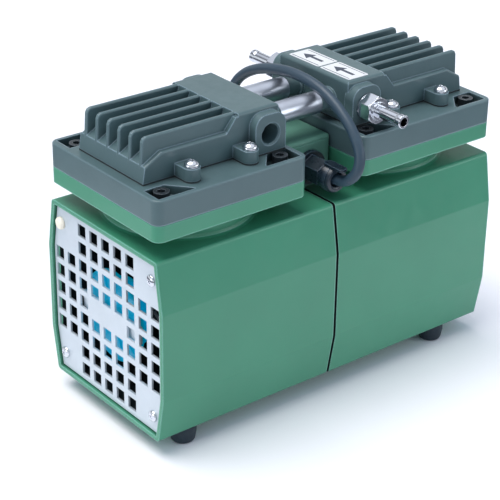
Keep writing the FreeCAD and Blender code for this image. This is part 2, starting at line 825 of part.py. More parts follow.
def cover_cavities(z0, z1):
    cavities = []
    for side in (-1, 1):
        low, high = sorted((side * 2.0, side * (cover_half_width - cover_wall)))
        cavities.append(box(cover_x(cover_outer) + 14, cover_x(-cover_inner) - block_length + 2, low, high, z0, z1))
        low, high = sorted((side * 2.0, side * (cover_half_width - 2 * cover_wall)))
        cavities.append(box(cover_x(-cover_inner) - block_length, cover_x(-cover_inner) - 5, low, high, z0, z1))
    return cavities


def screw_spots():
    return [(-head_centre + x * lug_x, y * lug_y) for x, y in four_corners]


# Cooling fin with a rounded end and rounded top edges
def fin(y, outline):
    plate = prism_y(outline, y - fin_thickness / 2, y + fin_thickness / 2)
    rounded = [e for e in plate.Edges if abs(e.Vertexes[0].Y - e.Vertexes[1].Y) < 0.01
               and min(v.Z for v in e.Vertexes) > plate_top + cover_roof_outer - 3
               and (max(v.X for v in e.Vertexes) < outline[3][0] + 0.1 or min(v.Z for v in e.Vertexes) > cover_top_z - 0.1)]
    return plate.makeFillet(fin_round, rounded)


# Boss of a side port, direction -1 towards the gland side
def port_boss(direction, bottom):
    low, high = sorted((direction * (cover_half_width - 2), direction * port_face))
    boss = box(-port_x - port_half_width, -port_x + port_half_width, low, high, bottom, port_z + port_boss_top)
    shoulders = [e for e in edges_at_height(boss, port_z + port_boss_top)
                 if abs(e.Vertexes[0].Y - e.Vertexes[1].Y) > 1]
    return boss.makeFillet(port_boss_round, shoulders)


def cover(with_ports):
    outer_x = cover_x(cover_outer)
    inner_x = cover_x(-cover_inner)
    block_x = inner_x - block_length
    roof = plate_top + cover_roof
    outer_roof = plate_top + cover_roof_outer
    side = [(outer_x, cover_base), (outer_x + cover_draft, outer_roof), (outer_x + cover_slope_length, roof),
            (inner_x, roof), (inner_x, cover_base)]
    body = prism_y(side, -cover_half_width, cover_half_width)
    top_edges = [e for e in body.Edges if len(e.Vertexes) == 2 and
                 abs(e.Vertexes[0].Y - e.Vertexes[1].Y) < 0.01 and
                 min(e.Vertexes[0].Z, e.Vertexes[1].Z) > outer_roof - 0.01 and
                 max(e.Vertexes[0].Z, e.Vertexes[1].Z) > roof - 0.01 and
                 abs(e.Vertexes[0].X - e.Vertexes[1].X) > 1]
    body = body.makeFillet(cover_edge, top_edges)
    fin_outline = [(outer_x + 1.2, plate_top + 9), (outer_x + 2.3, cover_top_z - fin_corner),
                   (outer_x + 3.3, cover_top_z - 1.0), (outer_x + 5.3, cover_top_z),
                   (block_x + 2, cover_top_z), (block_x + 2, roof - 1), (outer_x + cover_slope_length, roof - 1)]
    adds = [fin((i - (fin_count - 1) / 2.0) * fin_pitch, fin_outline) for i in range(fin_count)]
    block = box(block_x, inner_x, -cover_half_width, cover_half_width, cover_base, cover_top_z)
    rims = [e for e in edges_at_height(block, cover_top_z) if max(v.X for v in e.Vertexes) > block_x + 1]
    adds.append(block.makeFillet(block_edge, rims))
    rise = cover_top_z - roof
    ramp = [(block_x + 1, roof - 1), (block_x + 1, cover_top_z), (block_x, cover_top_z)]
    for i in range(1, 6):
        angle = math.pi / 2 * (1 - i / 5.0)
        ramp.append((block_x - ramp_length * (1 - math.sin(angle)), roof + rise * (1 - math.cos(angle))))
    ramp.append((block_x - ramp_length, roof - 1))
    adds.append(prism_y(ramp, 1 - fin_face, fin_face - 1))
    gusset = [(block_x + block_edge, roof - cover_edge), (block_x + block_edge, cover_top_z - block_edge),
              (block_x - block_edge, cover_top_z - block_edge), (block_x - block_gusset, roof - 1),
              (block_x - block_gusset, roof - cover_edge)]
    for direction in (-1, 1):
        low, high = sorted((direction * (fin_face - 1), direction * cover_half_width))
        adds.append(prism_y(gusset, low, high))
    for x, y in screw_spots():
        toward = -1 if y > 0 else 1
        low, high = sorted((y, toward * -1 * (cover_half_width - 1)))
        adds.append(box(x - lug_radius, x + lug_radius, low, high, cover_base, plate_top + lug_height))
        adds.append(bar_z(lug_radius, cover_base, plate_top + lug_height, x, y))
    for direction in (-1, 1):
        adds.append(port_boss(direction, cover_base))
        adds.append(bar_x(spigot_radius + 1.2, inner_x - 2, inner_x + 2, direction * pipe_y, port_z))
        spigot = bar_x(spigot_radius, inner_x - 2, -spigot_end, direction * pipe_y, port_z)
        groove = tube_x(spigot_radius + 1, spigot_radius - seal_groove, -spigot_end - 3 - seal_width,
                        -spigot_end - 3, direction * pipe_y, port_z)
        adds.append(spigot.cut(groove))
    whole = fused(body, *adds)
    tools = cover_cavities(cover_base - 1, port_z + 1)
    for x, y in screw_spots():
        tools.append(bar_z(cover_screw_radius + 0.25, cover_base - 1, plate_top + lug_height + 1, x, y))
    for direction in (-1, 1):
        tools.append(turned([(port_face - port_depth, 0), (port_face - port_depth, port_bore),
                             (port_face - port_chamfer, port_bore), (port_face, port_bore + port_chamfer),
                             (port_face + 1, port_bore + port_chamfer), (port_face + 1, 0)],
                            V(-port_x, 0, port_z), V(0, direction, 0)))
        if with_ports:
            low, high = sorted((direction * (port_face - port_depth - 3), direction * (port_face - port_depth + 1)))
            tools.append(bar_y(passage_radius, low, high, -port_x, port_z))
        tools.append(bar_x(passage_radius, inner_x - 6, -spigot_end + 1, direction * pipe_y, port_z))
    return drilled(whole, *tools)


# Gasket between plate and cover, with the cover's footprint
def cover_gasket():
    plate = box(cover_x(cover_outer), cover_x(-cover_inner), -cover_half_width, cover_half_width,
                plate_top, cover_base)
    adds = []
    for x, y in screw_spots():
        low, high = sorted((y, (cover_half_width - 1) * (1 if y > 0 else -1)))
        adds.append(box(x - lug_radius, x + lug_radius, low, high, plate_top, cover_base))
        adds.append(bar_z(lug_radius, plate_top, cover_base, x, y))
    for direction in (-1, 1):
        low, high = sorted((direction * (cover_half_width - 2), direction * port_face))
        adds.append(box(-port_x - port_half_width, -port_x + port_half_width, low, high, plate_top, cover_base))
    plate = fused(plate, *adds)
    tools = cover_cavities(plate_top - 1, cover_base + 1)
    for x, y in screw_spots():
        tools.append(bar_z(cover_screw_radius + 0.25, plate_top - 1, cover_base + 1, x, y))
    return drilled(plate, *tools)


# Screws of the heads
head_screws = []
cover_screws = []
for centre in (-head_centre, head_centre):
    for x, y in four_corners:
        spot_x = centre + x * head_bolt
        spot_y = y * head_bolt
        seat = plate_top - pocket_depth
        head = bar_z(head_screw_head, seat, seat + 6, spot_x, spot_y)
        shank = bar_z(head_screw_radius, seat - head_screw_length, seat + 1, spot_x, spot_y)
        socket = hexagon_prism(5, V(spot_x, spot_y, seat + 3), V(0, 0, 1), 4, V(1, 0, 0))
        head_screws.append(fused(head, shank).cut(socket))
        cover_screws.append(pan_screw(V(centre + x * lug_x, y * lug_y, plate_top + lug_height), V(0, 0, -1),
                                      cover_screw_radius, cover_screw_head, cover_screw_height,
                                      cover_screw_length))


# Transfer pipes over the spigots, with a square seal in each end
def pipe(y):
    return tube_x(pipe_radius, pipe_bore, -pipe_half_length, pipe_half_length, y, port_z)


seals = []
for y in (-pipe_y, pipe_y):
    for direction in (-1, 1):
        near = direction * (spigot_end + 3)
        far = direction * (spigot_end + 3 + seal_width)
        seals.append(tube_x(pipe_bore, spigot_radius - seal_groove, min(near, far), max(near, far), y, port_z))


# Hose nipple: thread, hexagon and tail with a bead, pointing along direction
def nipple(direction):
    axis = V(0, direction, 0)
    hex_start = port_face + nipple_washer_thickness
    tail_start = hex_start + nipple_hex_length
    hexagon = hexagon_prism(nipple_hex, V(port_x, direction * hex_start, port_z), axis, nipple_hex_length,
                            V(0, 0, 1))
    limit = turned([(0, 0), (0, nipple_hex / 2 + 0.2), (1.0, nipple_hex / 2 + 1.4),
                    (nipple_hex_length - 1.0, nipple_hex / 2 + 1.4), (nipple_hex_length, nipple_hex / 2 + 0.2),
                    (nipple_hex_length, 0)], V(port_x, direction * hex_start, port_z), axis)
    turned_part = turned([(port_face - port_depth + 1.5, 0), (port_face - port_depth + 1.5, port_bore - clearance),
                          (hex_start + 0.5, port_bore - clearance), (tail_start - 0.5, port_bore - 0.6),
                          (tail_start + 1.0, port_bore - 0.6), (tail_start + 1.0, nipple_tail_radius),
                          (nipple_end - 5, nipple_tail_radius), (nipple_end - 3.5, nipple_tip_radius),
                          (nipple_end - 0.5, nipple_tip_radius), (nipple_end, nipple_tip_radius - 0.5),
                          (nipple_end, 0)],
                         V(port_x, 0, port_z), axis)
    whole = fused(turned_part, hexagon.common(limit))
    bore = turned([(20, 0), (20, nipple_bore), (nipple_end + 1, nipple_bore), (nipple_end + 1, 0)],
                  V(port_x, 0, port_z), axis)
    return whole.cut(bore)


def nipple_washer(direction):
    low, high = sorted((direction * port_face, direction * (port_face + nipple_washer_thickness)))
    return bar_y(nipple_washer_radius, low, high, port_x, port_z).cut(
        bar_y(port_bore + clearance, low - 1, high + 1, port_x, port_z))


# Terminal box, its lid, the run capacitor and the terminal block
def terminal_box():
    top = case_top + box_height - box_lid
    centre_y = (box_rear - box_front) / 2.0
    width = box_rear + box_front
    body = rounded_plate(0, centre_y, 2 * box_half_length, width, box_corner, case_top, top)
    inside = box(-box_half_length + box_wall, box_half_length - box_wall, -box_front + box_wall,
                 box_rear - box_wall, case_top + box_wall, top + 1)
    tools = [inside, bar_y(gland_thread, -box_front - 1, -box_front + box_wall + 1, gland_x, gland_z)]
    tools.append(bar_z(wire_hole_radius, case_top - 1, case_top + box_wall + 1, wire_hole_x, wire_hole_y))
    for side in (-1, 1):
        tools.append(bar_z(m4_clearance, case_top - 1, box_floor + 1, side * box_screw_x, box_screw_y))
    posts = [box(side * lid_screw_x - 3.8, side * lid_screw_x + 3.8, lid_screw_y - 3.8, box_rear - 2,
                 case_top + 1, top) for side in (-1, 1)]
    body = fused(drilled(body, *tools), *posts)
    return drilled(body, *[bar_z(m4_radius + clearance, top - 9, top + 1, side * lid_screw_x, lid_screw_y)
                           for side in (-1, 1)])


def terminal_box_lid():
    top = case_top + box_height
    centre_y = (box_rear - box_front) / 2.0
    width = box_rear + box_front
    lid = rounded_plate(0, centre_y, 2 * box_half_length, width, box_corner, top - box_lid, top)
    lid = lid.makeFillet(lid_edge, edges_at_height(lid, top))
    return drilled(lid, *[bar_z(m4_clearance, top - box_lid - 1, top + 1, side * lid_screw_x, lid_screw_y)
                          for side in (-1, 1)])


capacitor_z = box_floor + capacitor_radius
capacitor = bar_y(capacitor_radius, capacitor_start, capacitor_start + capacitor_length, capacitor_x,
                  capacitor_z)
terminal_top = box_floor + terminal_height
terminal_x = (terminal_left + terminal_right) / 2.0
terminal_y = (terminal_front + terminal_back) / 2.0
block_body = box(terminal_left, terminal_right, terminal_front, terminal_back, box_floor, terminal_top)
block_screws = [bar_z(2.2, terminal_top - 5, terminal_top + 1, terminal_x, terminal_y + i * terminal_pitch)
                for i in (-1, 0, 1)]
terminal_block = drilled(block_body, *block_screws)

# Cable gland: threaded body with hexagon, cap, and the rubber bush that grips the cord
front = -box_front
flange_y = front - gland_flange
hex_end = flange_y - gland_hex_length
cap_end = -gland_end
gland_shell = fused(
    bar_y(gland_thread - clearance, front - 1, front + box_wall + 6, gland_x, gland_z),
    bar_y(gland_flange_radius, flange_y, front, gland_x, gland_z),
    hexagon_prism(gland_hex, V(gland_x, flange_y, gland_z), V(0, -1, 0), gland_hex_length, V(0, 0, 1)))
gland_shell = gland_shell.cut(bar_y(gland_bore, hex_end - 1, front + box_wall + 7, gland_x, gland_z))
cap = bar_y(gland_cap_radius, cap_end, hex_end, gland_x, gland_z)
tongue_x = gland_x + tongue_shift
tongue_root = gland_cap_radius - 2.0
tongue_side = [(hex_end, gland_z + tongue_root), (hex_end, gland_z + tongue_over + 0.6),
               (-tongue_end, gland_z + tongue_over - 0.4), (-tongue_end, gland_z + tongue_under + 0.4),
               (cap_end - 1, gland_z + tongue_under), (cap_end + 1, gland_z + tongue_root)]
tongue = prism_x(tongue_side, tongue_x - tongue_width / 2, tongue_x + tongue_width / 2)
notch = box(gland_x - 3, gland_x + 3, cap_end - 1, hex_end - 2, gland_z - 12, gland_z - 5)
cap = fused(cap, tongue)
cap = drilled(cap, notch, bar_y(cord_radius + 1.0, cap_end - 1, hex_end + 1, gland_x, gland_z))
bush_start = hex_end + 1
bush = bar_y(gland_bore - clearance, bush_start, bush_start + 12, gland_x, gland_z).cut(
    bar_y(cord_radius, bush_start - 1, bush_start + 13, gland_x, gland_z))

# Cord: straight runs joined by arcs, from inside the gland up over the pump and down behind it
cord_route = [
    (gland_x, -20, gland_z), (gland_x, -38, gland_z), (gland_x, -56, gland_z), (8.5, -64.5, 156),
    (13, -68, 165.5), (16, -66, 177), (18, -59, 188.5), (18.5, -48, 198), (18, -34, 204.5), (17.6, -18, 207.6), (17.4, -1, 207.4), (17.2, 16, 204),
    (16.8, 32, 198), (16, 46, 189.5), (14.5, 58, 178), (13, 66.5, 163), (12, 71, 143), (11.5, 72.6, 118),
    (11.8, 73, 92), (13.5, 72.8, 67), (18, 72.2, 44), (27, 72, 24), (39, 72, 9.5), (50, 72, 4.2), (62, 72, 3.6),
]
cord_radii = []


def rounded_path(points):
    corners = [V(*point) for point in points]
    edges = []
    start = corners[0]
    for before, here, after in zip(corners, corners[1:], corners[2:]):
        first = (here - before).normalize()
        second = (after - here).normalize()
        turn = first.getAngle(second)
        if turn < 0.01:
            continue
        reach = 0.45 * min((here - before).Length, (after - here).Length)
        cord_radii.append(reach / math.tan(turn / 2))
        arc_start = here - first * reach
        arc_end = here + second * reach
        bulge = (second - first).normalize()
        middle = here + bulge * (cord_radii[-1] / math.cos(turn / 2) - cord_radii[-1])
        edges.append(Part.LineSegment(start, arc_start).toShape())
        edges.append(Part.Arc(arc_start, middle, arc_end).toShape())
        start = arc_end
    edges.append(Part.LineSegment(start, corners[-1]).toShape())
    return Part.Wire(edges)


def cord_tube(points):
    path = rounded_path(points)
    first = V(*points[0])
    direction = V(*points[1]) - first
    profile = Part.Wire([Part.makeCircle(cord_radius, first, direction)])
    tube = path.makePipeShell([profile], True, False)
    print("cord tube, length", round(path.Length, 1), "volume over section",
          round(tube.Volume / (math.pi * cord_radius ** 2), 1))
    return tube


cord = cord_tube(cord_route)
coil_inner = coil_middle_radius - cord_pitch
coil_outer = coil_middle_radius + cord_pitch
coil_height = (coil_layers - 1) * cord_pitch + 2 * cord_radius
bevel = 2.5
coil = turned([(0, coil_inner + bevel), (0, coil_outer - bevel), (bevel, coil_outer),
               (coil_height - bevel, coil_outer), (coil_height, coil_outer - bevel),
               (coil_height, coil_inner + bevel), (coil_height - bevel, coil_inner), (bevel, coil_inner)],
              V(coil_x, coil_y, 0), V(0, 0, 1))

# Free end of the cord from the top of the coil down to the plug on the floor
tail_route = [(35, 140, 18.4), (25, 130, 17.6), (14, 120, 14.4), (2, 111, 10.4), (-12, 106, 8.5),
              (plug_x, plug_y, 8.5)]
tail = cord_tube(tail_route)


# Two-blade plug lying on the floor, its blades towards -X
def oblong(x, width, thickness, corner):
    middle = plug_thickness / 2
    plate = box(x - 1, x, plug_y - width / 2, plug_y + width / 2, middle - thickness / 2,
                middle + thickness / 2)
    along = [e for e in plate.Edges if abs(e.Vertexes[0].X - e.Vertexes[1].X) > 0.5]
    plate = plate.makeFillet(corner, along)
    faces = [face for face in plate.Faces if abs(face.CenterOfMass.x - x) < 0.001]
    return faces[0].OuterWire


relief_end = plug_x - plug_relief
plug_front = relief_end - plug_length
plug_body = Part.makeLoft([oblong(plug_x, 9, 9, 4), oblong(relief_end, 13, 12, 4),
                           oblong(relief_end - 8, plug_width - 3, plug_thickness - 1, 4),
                           oblong(relief_end - 14, plug_width, plug_thickness, 4),
                           oblong(plug_front, plug_width, plug_thickness, 4)], True, True)
blades = []
for side in (-1, 1):
    blade_y = plug_y + side * blade_spacing / 2
    blades.append(box(plug_front - blade_length, plug_front, blade_y - blade_thickness / 2,
                      blade_y + blade_thickness / 2, (plug_thickness - blade_width) / 2,
                      (plug_thickness + blade_width) / 2))

print("cord arc radii", [round(radius, 1) for radius in cord_radii])

os.makedirs("parts", exist_ok=True)

write("left_housing", left)
write("right_housing", right)
write("case_gasket", gasket)
write("tie_bolts", *tie_bolts)
write_pair("grille", grille())
write("m4_screws", *m4_screws)
write("screw_seal_dot", seal_dot)
write("rubber_feet", *[foot(x, y) for x, y in foot_spots])
write("stator_core", stator)
write("stator_windings", windings)
write("main_bearing_outer_rings", main_outer, mirrored(main_outer))
write("main_bearing_inner_rings", main_inner, mirrored(main_inner))
write("motor_shaft", shaft)
write("rotor", rotor, *rotor_rings)
write("left_eccentric", eccentric(1))
write("right_eccentric", mirrored(eccentric(-1)))
write("crank_bearing_inner_rings", crank_inner(1), mirrored(crank_inner(-1)))
write("left_crank_bearing_ring", crank_outer(1))
write("right_crank_bearing_ring", mirrored(crank_outer(-1)))
write("left_connecting_rod", connecting_rod(1))
write("right_connecting_rod", mirrored(connecting_rod(-1)))
write("left_clamp_disc", clamp_disc(1))
write("right_clamp_disc", mirrored(clamp_disc(-1)))
write("left_diaphragm", diaphragm(1))
write("right_diaphragm", mirrored(diaphragm(-1)))
write_pair("fan", fan())
write("fan_clamps", *(fan_clamp(-1) + fan_clamp(1)))
write_pair("head_plate", head_plate())
write_pair("inlet_reed", inlet_reed)
write_pair("outlet_reed", outlet_reed)
write("reed_retainers", *(left_retainers + [mirrored(piece) for piece in left_retainers]))
write("cover_gaskets", cover_gasket(), mirrored(cover_gasket()))
write("left_head_cover", cover(False))
write("right_head_cover", mirrored(cover(True)))
write("head_screws", *head_screws)
write("cover_screws", *cover_screws)
write("inlet_pipe", pipe(-pipe_y))
write("outlet_pipe", pipe(pipe_y))
write("pipe_seals", *seals)
write("inlet_nipple", nipple(-1))
write("outlet_nipple", nipple(1))
write("nipple_washers", nipple_washer(-1), nipple_washer(1))
write("terminal_box", terminal_box())
write("terminal_box_lid", terminal_box_lid())
write("run_capacitor", capacitor)
write("terminal_block", terminal_block)
write("cable_gland_body", gland_shell)
write("cable_gland_cap", cap)
write("cable_gland_bush", bush)
write("power_cord", cord)
write("cord_coil", coil)
write("cord_tail", tail)
write("plug_body", plug_body)
write("plug_blades", *blades)
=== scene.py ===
# Looks of the twin-head diaphragm vacuum pump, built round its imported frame.
# The frame is in metres: X along the shaft, the cable gland towards -Y, Z up.
# Points and sizes of pieces are written in millimetres, and mm() or MM turns them into metres.
import math

import bmesh
import bpy
from mathutils import Matrix, Vector


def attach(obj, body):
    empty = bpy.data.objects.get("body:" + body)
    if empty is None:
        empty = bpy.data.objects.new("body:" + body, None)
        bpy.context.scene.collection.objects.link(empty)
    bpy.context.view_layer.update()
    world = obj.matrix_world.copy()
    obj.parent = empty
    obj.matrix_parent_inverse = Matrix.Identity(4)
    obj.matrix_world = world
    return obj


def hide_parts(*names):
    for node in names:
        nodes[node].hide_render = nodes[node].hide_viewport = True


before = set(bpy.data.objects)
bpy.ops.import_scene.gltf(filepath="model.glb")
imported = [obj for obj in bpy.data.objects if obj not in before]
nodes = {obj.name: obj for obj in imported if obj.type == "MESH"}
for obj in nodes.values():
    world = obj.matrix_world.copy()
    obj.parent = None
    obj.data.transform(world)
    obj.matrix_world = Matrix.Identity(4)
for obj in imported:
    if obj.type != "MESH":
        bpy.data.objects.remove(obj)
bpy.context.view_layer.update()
scene = bpy.context.scene
MM = 0.001


def mm(*values):
    return Vector(values) * MM


def put(name, data):
    """A new object in the scene."""
    obj = bpy.data.objects.new(name, data)
    scene.collection.objects.link(obj)
    return obj


# Camera, fitted to the photograph
AZIMUTH, ELEVATION, ROLL = (math.radians(angle) for angle in (-38.92, 26.69, 0.92))
CAMERA_PLACE = (-0.64197, -0.76770, 0.58452)
SENSOR_WIDTH, LENS = 36, 118.41
NEAREST_SEEN = 0.05

back = Vector((math.sin(AZIMUTH) * math.cos(ELEVATION), -math.cos(AZIMUTH) * math.cos(ELEVATION),
               math.sin(ELEVATION)))
level = Vector((math.cos(AZIMUTH), math.sin(AZIMUTH), 0))
right = level * math.cos(ROLL) + back.cross(level) * math.sin(ROLL)
camera = put("camera", bpy.data.cameras.new("camera"))
camera.matrix_world = Matrix.Translation(CAMERA_PLACE) @ Matrix(
    (right, back.cross(right), back)).transposed().to_4x4()
camera.data.sensor_width = SENSOR_WIDTH
camera.data.lens = LENS
camera.data.clip_start = NEAREST_SEEN
scene.camera = camera

# Power cord: out of the gland, over the pump and down behind it, then its coil and the end with the plug
CORD_ROUTE = [
    (5, -38, 152), (5, -50, 152), (6.4, -60.5, 152.4), (9.4, -67.8, 159.6), (12.2, -67.6, 170.5),
    (13.4, -61, 181), (14, -52.5, 188.8), (14.3, -40.5, 196.7), (14.5, -26.5, 202.7), (14.5, -11, 205.4),
    (14.5, 5, 205.6), (14.5, 20, 203.4), (14.5, 35, 199.6), (14.2, 49, 193.6), (14, 61, 184.5),
    (13.5, 68.3, 172), (12.6, 71.5, 156), (12, 72.8, 136), (11.6, 73, 114), (11.8, 73, 92),
    (13.5, 72.8, 67), (18, 72.2, 44), (27, 72, 24), (39, 72, 9.5), (50, 72, 4.2), (62, 72, 3.6),
]
CORD_TAIL = [
    (58, 149, 22.5), (46, 148.5, 26), (34, 142, 25.5), (23, 131.5, 21.5), (12, 120, 16), (0, 111, 11),
    (-13, 106.5, 8.7), (-28, 106, 8.5),
]
CORD_RADIUS = 3.6
COIL_CENTRE = (62, 113)
COIL_START, COIL_END = -90, 1850
COIL_STEP = 22.5
TURN_OUT, TURN_IN = 41.7, 34.3
LAYERS = (3.6, 11.0, 18.4)
# Where the winding changes column or layer: start and end angle, then radius and height there
COIL_MOVES = [
    (200, 260, TURN_IN, LAYERS[0]), (525, 585, TURN_IN, LAYERS[1]), (850, 910, TURN_OUT, LAYERS[1]),
    (1175, 1235, TURN_OUT, LAYERS[2]), (1500, 1560, TURN_IN, LAYERS[2]),
]


def coil_points():
    points = []
    # The spline runs inside its points, so they stand a little outside the turns
    widen = 1 / math.cos(math.radians(COIL_STEP / 2))
    angle = COIL_START + COIL_STEP
    while angle < COIL_END:
        radius, height = TURN_OUT, LAYERS[0]
        for start, end, new_radius, new_height in COIL_MOVES:
            share = min(max((angle - start) / (end - start), 0), 1)
            share = share * share * (3 - 2 * share)
            radius += (new_radius - radius) * share
            height += (new_height - height) * share
        turn = math.radians(angle)
        points.append((COIL_CENTRE[0] + radius * widen * math.cos(turn),
                       COIL_CENTRE[1] + radius * widen * math.sin(turn), height))
        angle += COIL_STEP
    return points


def smooth_curve(name, points, radius):
    """A round NURBS tube. Its points hold the thickness, because a curve's box grows by their radius."""
    curve = bpy.data.curves.new(name, "CURVE")
    curve.dimensions = "3D"
    curve.bevel_depth = 1.0
    curve.bevel_resolution = 5
    curve.use_fill_caps = True
    spline = curve.splines.new("NURBS")
    spline.points.add(len(points) - 1)
    for point, place in zip(spline.points, points):
        point.co = (*mm(*place), 1)
        point.radius = radius * MM
    spline.order_u = 3
    spline.use_endpoint_u = True
    spline.resolution_u = 6
    return put(name, curve)


cord = smooth_curve("cord", CORD_ROUTE + coil_points() + CORD_TAIL, CORD_RADIUS)
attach(cord, "housing")
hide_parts("power_cord", "cord_coil", "cord_tail")

# Materials
BUMP_STRENGTH = 1.0
SOFT_SAMPLES, EDGE_SAMPLES, SHADE_SAMPLES = 6, 4, 8
NOISE_RANGE = (0.3, 0.7)
# How far the rounded normal turns from the face at edges lightened as wear and painted highlight, and how
# open a corner is from painted shade to full colour
EDGE_RANGE = (0.84, 0.99)
SHADE_RANGE = (0.12, 0.62)
# Sockets of the colour mix node
MIX_FACTOR, MIX_FIRST, MIX_SECOND, MIX_RESULT = 0, 6, 7, 2


def linear(red, green, blue):
    """A colour written as 0 to 255 in sRGB, as Blender's linear values."""
    return tuple(((c / 255 + 0.055) / 1.055) ** 2.4 if c > 10 else c / 255 / 12.92
                 for c in (red, green, blue)) + (1,)


class Nodes:
    """A node tree with a short way to add nodes and to link them."""

    def __init__(self, tree):
        self.tree = tree

    def add(self, kind, inputs=None, **settings):
        node = self.tree.nodes.new(kind)
        for key, value in settings.items():
            setattr(node, key, value)
        for socket, value in (inputs or {}).items():
            node.inputs[socket].default_value = value
        return node

    def link(self, output, node, socket):
        self.tree.links.new(output, node.inputs[socket])


class Finish(Nodes):
    """A node material with colour variation, grain in its gloss and bump, and optional lighter edges of
    wear and painted highlight, and painted shade.
    """

    def __init__(self, name, colour, roughness, metallic=0.0):
        self.material = bpy.data.materials.new(name)
        self.material.use_nodes = True
        super().__init__(self.material.node_tree)
        self.shader = self.tree.nodes["Principled BSDF"]
        self.colour = linear(*colour)
        self.set(Metallic=metallic, Roughness=roughness, Base_Color=self.colour)
        self.place = self.add("ShaderNodeTexCoord").outputs["Object"]
        self.normal = None

    def set(self, **values):
        for key, value in values.items():
            self.shader.inputs[key.replace("_", " ")].default_value = value
        return self

    def noise(self, scale, detail=3.0, stretch=None):
        node = self.add("ShaderNodeTexNoise", {"Scale": scale, "Detail": detail})
        place = self.place
        if stretch:
            mapping = self.add("ShaderNodeMapping", {"Scale": stretch})
            self.link(place, mapping, "Vector")
            place = mapping.outputs["Vector"]
        self.link(place, node, "Vector")
        return node.outputs["Fac"]

    def ranged(self, value, low, high, limits=NOISE_RANGE):
        """The value's span between the limits, turned into low to high."""
        node = self.add("ShaderNodeMapRange", {"From Min": limits[0], "From Max": limits[1],
                                               "To Min": low, "To Max": high})
        self.link(value, node, "Value")
        return node.outputs["Result"]

    def mix(self, factor, first, second, blend="MIX"):
        node = self.add("ShaderNodeMix", data_type="RGBA", blend_type=blend)
        for index, value in ((MIX_FACTOR, factor), (MIX_FIRST, first), (MIX_SECOND, second)):
            if isinstance(value, (int, float, tuple)):
                node.inputs[index].default_value = value
            else:
                self.link(value, node, index)
        return node.outputs[MIX_RESULT]

    def paint(self, colour):
        self.colour = colour
        self.link(colour, self.shader, "Base Color")
        return self

    def lean(self, normal):
        self.normal = normal
        self.link(normal, self.shader, "Normal")
        return self

    def vary(self, scale, amount, stretch=None):
        """The colour drifts lighter and darker in soft patches."""
        dark = tuple(c * (1 - amount) for c in self.colour[:3]) + (1,)
        light = tuple(min(1, c * (1 + amount)) for c in self.colour[:3]) + (1,)
        return self.paint(self.mix(self.ranged(self.noise(scale, stretch=stretch), 0, 1), dark, light))

    def gloss(self, scale, low, high, stretch=None):
        """The roughness drifts between low and high."""
        self.link(self.ranged(self.noise(scale, 4, stretch), low, high), self.shader, "Roughness")
        return self

    def bump(self, scale, depth, detail=3.0, stretch=None):
        node = self.add("ShaderNodeBump", {"Strength": BUMP_STRENGTH, "Distance": depth})
        self.link(self.noise(scale, detail, stretch), node, "Height")
        if self.normal:
            self.link(self.normal, node, "Normal")
        return self.lean(node.outputs["Normal"])

    def soften(self, width):
        """Edges catch the light as if they were rounded."""
        bevel = self.add("ShaderNodeBevel", {"Radius": width}, samples=SOFT_SAMPLES)
        return self.lean(bevel.outputs["Normal"])

    def edges(self, colour, width, strength=0.7):
        """Lighter paint where the surface turns sharply: partly rubbed paint, partly painted highlight."""
        bevel = self.add("ShaderNodeBevel", {"Radius": width}, samples=EDGE_SAMPLES)
        flat = self.add("ShaderNodeNewGeometry")
        dot = self.add("ShaderNodeVectorMath", operation="DOT_PRODUCT")
        self.link(bevel.outputs["Normal"], dot, 0)
        self.link(flat.outputs["True Normal"], dot, 1)
        wear_and_highlight = self.ranged(dot.outputs["Value"], strength, 0, EDGE_RANGE)
        return self.paint(self.mix(wear_and_highlight, self.colour, linear(*colour)))

    def painted_shade(self, distance, darkest):
        """Painted shade: the colour darkens in corners and between ribs, as far as ambient occlusion finds
        them closed in.
        """
        cover = self.add("ShaderNodeAmbientOcclusion", {"Distance": distance}, samples=SHADE_SAMPLES)
        if self.normal:
            self.link(self.normal, cover, "Normal")
        openness = self.ranged(cover.outputs["AO"], darkest, 1, SHADE_RANGE)
        return self.paint(self.mix(1.0, self.colour, openness, "MULTIPLY"))


# On the paints, the lighter edges are partly rubbed paint and partly painted highlight, and the darkening
# in corners, pockets and between ribs is painted shade.
green_paint = Finish("green_paint", (65, 139, 108), 0.36).soften(0.0012).vary(14, 0.05)
green_paint.edges((150, 214, 192), 0.0014, 0.8).painted_shade(0.012, 0.35)
green_paint.gloss(120, 0.28, 0.38).bump(1100, 0.00004, 2)
dark_green = Finish("dark_green_paint", (90, 137, 119), 0.42).soften(0.0012).vary(20, 0.05)
dark_green.edges((120, 184, 160), 0.0014, 0.6).painted_shade(0.012, 0.4)
dark_green.gloss(120, 0.34, 0.46).bump(1100, 0.00004, 2)
# Near black for the inside of the casing: painted shade, as the inside lies in shadow.
inside_painted_shade = Finish("inside_painted_shade", (17, 23, 25), 0.6).vary(60, 0.2).gloss(200, 0.5, 0.7)
inside_painted_shade.bump(1200, 0.0001, 4)
grey_paint = Finish("grey_paint", (82, 104, 106), 0.36).soften(0.0010).vary(30, 0.06)
grey_paint.edges((160, 182, 194), 0.0012, 0.8).painted_shade(0.010, 0.2)
grey_paint.gloss(160, 0.28, 0.40).bump(1500, 0.00005, 3)
grille_silver = Finish("grille_silver", (203, 211, 216), 0.38).soften(0.0004).vary(60, 0.03)
grille_silver.gloss(400, 0.32, 0.44).bump(1600, 0.00002, 2).set(Metallic=0.35)
chrome = Finish("chrome", (214, 218, 226), 0.14, 1.0).soften(0.0005).vary(120, 0.04)
chrome.gloss(300, 0.10, 0.2).bump(500, 0.000006, 2)
pipe_steel = Finish("pipe_steel", (204, 210, 222), 0.34, 1.0).vary(120, 0.05)
pipe_steel.gloss(300, 0.30, 0.40, (0.05, 1, 1)).bump(1500, 0.000012, 2, (0.05, 1, 1))
